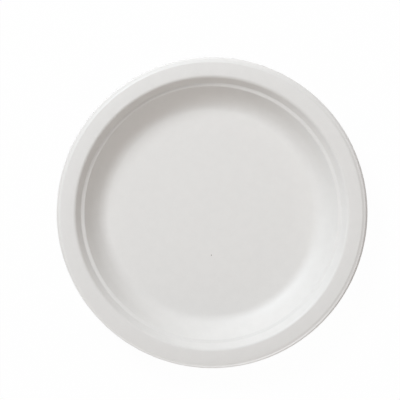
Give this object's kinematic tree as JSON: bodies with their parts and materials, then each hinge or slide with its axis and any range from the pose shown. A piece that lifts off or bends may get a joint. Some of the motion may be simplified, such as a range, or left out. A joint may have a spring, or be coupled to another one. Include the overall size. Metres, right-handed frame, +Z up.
{
  "type": "paper plate",
  "caption": "Round white plate of moulded plant fibre: flat floor, coved wall with a stacking ledge, crowned rim and a stepped, turned-down edge.",
  "frame": {"origin": "middle of the flat underside of the floor, on the table", "axes": "+Z up along the plate's axis, out of its hollow; the plate is round, so X and Y are any two level directions"},
  "size_m": [0.229, 0.229, 0.02],
  "materials": {
    "moulded_fibre": "matt off-white pressed plant fibre, smooth upper face with a faint sheen, screen-marked underside"
  },
  "bodies": {
    "root": {"plate": "moulded_fibre"}
  },
  "joints": []
}
